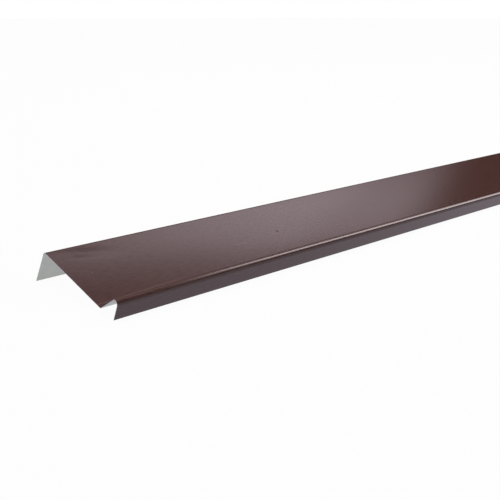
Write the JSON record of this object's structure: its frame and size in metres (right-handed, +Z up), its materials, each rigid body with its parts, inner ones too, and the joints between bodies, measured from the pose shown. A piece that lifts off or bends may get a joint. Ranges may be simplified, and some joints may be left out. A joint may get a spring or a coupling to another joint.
{
  "type": "wall abutment flashing",
  "caption": "Long folded sheet-steel strip with a chase flange, wide web, kick-out, rounded nose and drip lip, coated brown outside and grey on the back.",
  "frame": {"origin": "middle of the floor rectangle that the standing strip covers", "axes": "+X along the strip, +Y from the chase flange towards the drip lip, +Z up"},
  "size_m": [2, 0.188, 0.0441],
  "materials": {
    "coil_coated_steel": "chocolate brown semi-gloss polyester coil coating outside, light grey back coat"
  },
  "bodies": {
    "root": {"abutment_flashing": "coil_coated_steel"}
  },
  "joints": []
}
